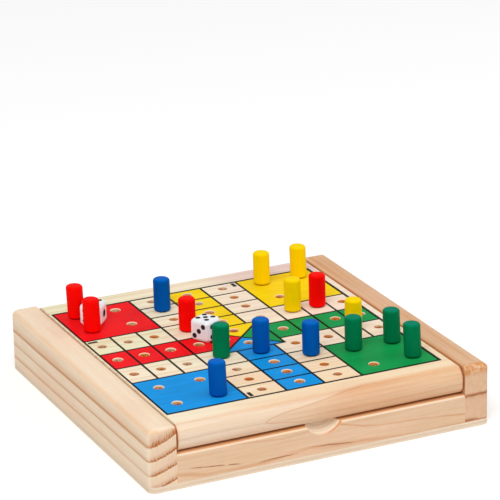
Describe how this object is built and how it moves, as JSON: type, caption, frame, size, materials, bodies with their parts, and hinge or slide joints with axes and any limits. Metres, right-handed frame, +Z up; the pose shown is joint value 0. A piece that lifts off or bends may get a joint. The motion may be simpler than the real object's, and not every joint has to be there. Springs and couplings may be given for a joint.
{
  "type": "travel ludo board box",
  "caption": "Flat wooden game box whose pegged ludo board is the hinged lid over a felt-lined tray for the pegs and dice.",
  "frame": {"origin": "centre of the box's underside, on the surface it stands on", "axes": "+X to the right, +Y to the back where the lid is hinged, +Z up"},
  "size_m": [0.17, 0.168, 0.0465],
  "materials": {
    "plywood": "thin pale plywood, sanded, bare",
    "pine_left": "pale pine with brown growth rings, sanded, clear sealed",
    "pine_right": "pinkish pine with level growth rings, sanded, clear sealed",
    "pine_cross": "pale pine, grain along the rail, sanded, clear sealed",
    "pine_lid": "pale pine with a printed game field in black, red, blue, green and yellow",
    "felt": "green felt",
    "steel": "plain steel",
    "peg_red": "turned wood, satin red paint",
    "peg_blue": "turned wood, satin blue paint",
    "peg_yellow": "turned wood, satin yellow paint",
    "peg_green": "turned wood, satin green paint",
    "die_white": "glossy white plastic with black pips"
  },
  "bodies": {
    "box": {"base_panel": "plywood", "left_rail": "pine_left", "right_rail": "pine_right", "front_rail": "pine_cross", "back_rail": "pine_cross", "felt_liner": "felt", "hinge_pin_left": "steel", "hinge_pin_right": "steel"},
    "lid": {"lid_board": "pine_lid"},
    "peg_red_1": {"peg_red_1": "peg_red"},
    "peg_red_2": {"peg_red_2": "peg_red"},
    "peg_red_3": {"peg_red_3": "peg_red"},
    "peg_red_4": {"peg_red_4": "peg_red"},
    "peg_blue_1": {"peg_blue_1": "peg_blue"},
    "peg_blue_2": {"peg_blue_2": "peg_blue"},
    "peg_blue_3": {"peg_blue_3": "peg_blue"},
    "peg_blue_4": {"peg_blue_4": "peg_blue"},
    "peg_yellow_1": {"peg_yellow_1": "peg_yellow"},
    "peg_yellow_2": {"peg_yellow_2": "peg_yellow"},
    "peg_yellow_3": {"peg_yellow_3": "peg_yellow"},
    "peg_yellow_4": {"peg_yellow_4": "peg_yellow"},
    "peg_green_1": {"peg_green_1": "peg_green"},
    "peg_green_2": {"peg_green_2": "peg_green"},
    "peg_green_3": {"peg_green_3": "peg_green"},
    "peg_green_4": {"peg_green_4": "peg_green"},
    "die_1": {"die_1": "die_white"},
    "die_2": {"die_2": "die_white"}
  },
  "joints": [
    {"name": "lid_hinge", "type": "hinge", "parent": "box", "child": "lid", "pos_m": [0, 0.0772, 0.0235], "axis": [-1, 0, 0], "range_deg": [0, 180]},
    {"name": "peg_red_1_lift", "type": "slide", "parent": "lid", "child": "peg_red_1", "axis": [0, 0, 1], "range_m": [0, 0.025]},
    {"name": "peg_red_2_lift", "type": "slide", "parent": "lid", "child": "peg_red_2", "axis": [0, 0, 1], "range_m": [0, 0.025]},
    {"name": "peg_red_3_lift", "type": "slide", "parent": "lid", "child": "peg_red_3", "axis": [0, 0, 1], "range_m": [0, 0.025]},
    {"name": "peg_red_4_lift", "type": "slide", "parent": "lid", "child": "peg_red_4", "axis": [0, 0, 1], "range_m": [0, 0.025]},
    {"name": "peg_blue_1_lift", "type": "slide", "parent": "lid", "child": "peg_blue_1", "axis": [0, 0, 1], "range_m": [0, 0.025]},
    {"name": "peg_blue_2_lift", "type": "slide", "parent": "lid", "child": "peg_blue_2", "axis": [0, 0, 1], "range_m": [0, 0.025]},
    {"name": "peg_blue_3_lift", "type": "slide", "parent": "lid", "child": "peg_blue_3", "axis": [0, 0, 1], "range_m": [0, 0.025]},
    {"name": "peg_blue_4_lift", "type": "slide", "parent": "lid", "child": "peg_blue_4", "axis": [0, 0, 1], "range_m": [0, 0.025]},
    {"name": "peg_yellow_1_lift", "type": "slide", "parent": "lid", "child": "peg_yellow_1", "axis": [0, 0, 1], "range_m": [0, 0.025]},
    {"name": "peg_yellow_2_lift", "type": "slide", "parent": "lid", "child": "peg_yellow_2", "axis": [0, 0, 1], "range_m": [0, 0.025]},
    {"name": "peg_yellow_3_lift", "type": "slide", "parent": "lid", "child": "peg_yellow_3", "axis": [0, 0, 1], "range_m": [0, 0.025]},
    {"name": "peg_yellow_4_lift", "type": "slide", "parent": "lid", "child": "peg_yellow_4", "axis": [0, 0, 1], "range_m": [0, 0.025]},
    {"name": "peg_green_1_lift", "type": "slide", "parent": "lid", "child": "peg_green_1", "axis": [0, 0, 1], "range_m": [0, 0.025]},
    {"name": "peg_green_2_lift", "type": "slide", "parent": "lid", "child": "peg_green_2", "axis": [0, 0, 1], "range_m": [0, 0.025]},
    {"name": "peg_green_3_lift", "type": "slide", "parent": "lid", "child": "peg_green_3", "axis": [0, 0, 1], "range_m": [0, 0.025]},
    {"name": "peg_green_4_lift", "type": "slide", "parent": "lid", "child": "peg_green_4", "axis": [0, 0, 1], "range_m": [0, 0.025]},
    {"name": "die_1_lift", "type": "slide", "parent": "lid", "child": "die_1", "axis": [0, 0, 1], "range_m": [0, 0.025]},
    {"name": "die_2_lift", "type": "slide", "parent": "lid", "child": "die_2", "axis": [0, 0, 1], "range_m": [0, 0.025]}
  ]
}
